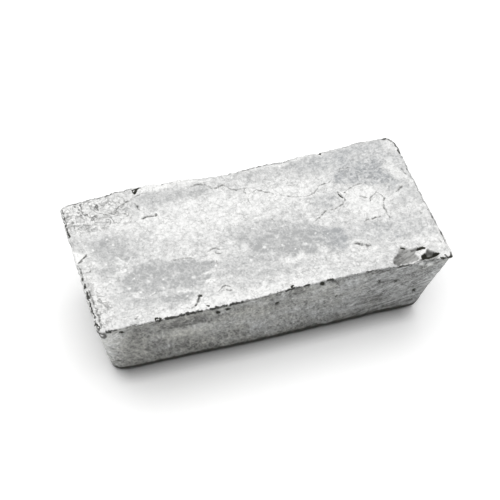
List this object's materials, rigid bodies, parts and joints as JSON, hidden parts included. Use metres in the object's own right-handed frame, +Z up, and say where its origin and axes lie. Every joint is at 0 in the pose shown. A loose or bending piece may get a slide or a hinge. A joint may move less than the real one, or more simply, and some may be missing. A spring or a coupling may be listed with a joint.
{
  "type": "tellurium ingot",
  "caption": "Cast bar of silvery metal with drafted walls, a rough crusted rim, a wrinkled and cracked top face, a notched end and a chipped corner, lying on its flat base.",
  "frame": {"origin": "middle of the flat base", "axes": "+X along the bar towards the chipped corner's end, +Y across it towards the back, +Z up from the base to the open-mould top face"},
  "size_m": [0.2, 0.096, 0.062],
  "materials": {
    "cast_tellurium": "as cast, matt silver-grey with bright crystalline patches and dull grey skins"
  },
  "bodies": {
    "root": {"ingot": "cast_tellurium"}
  },
  "joints": []
}
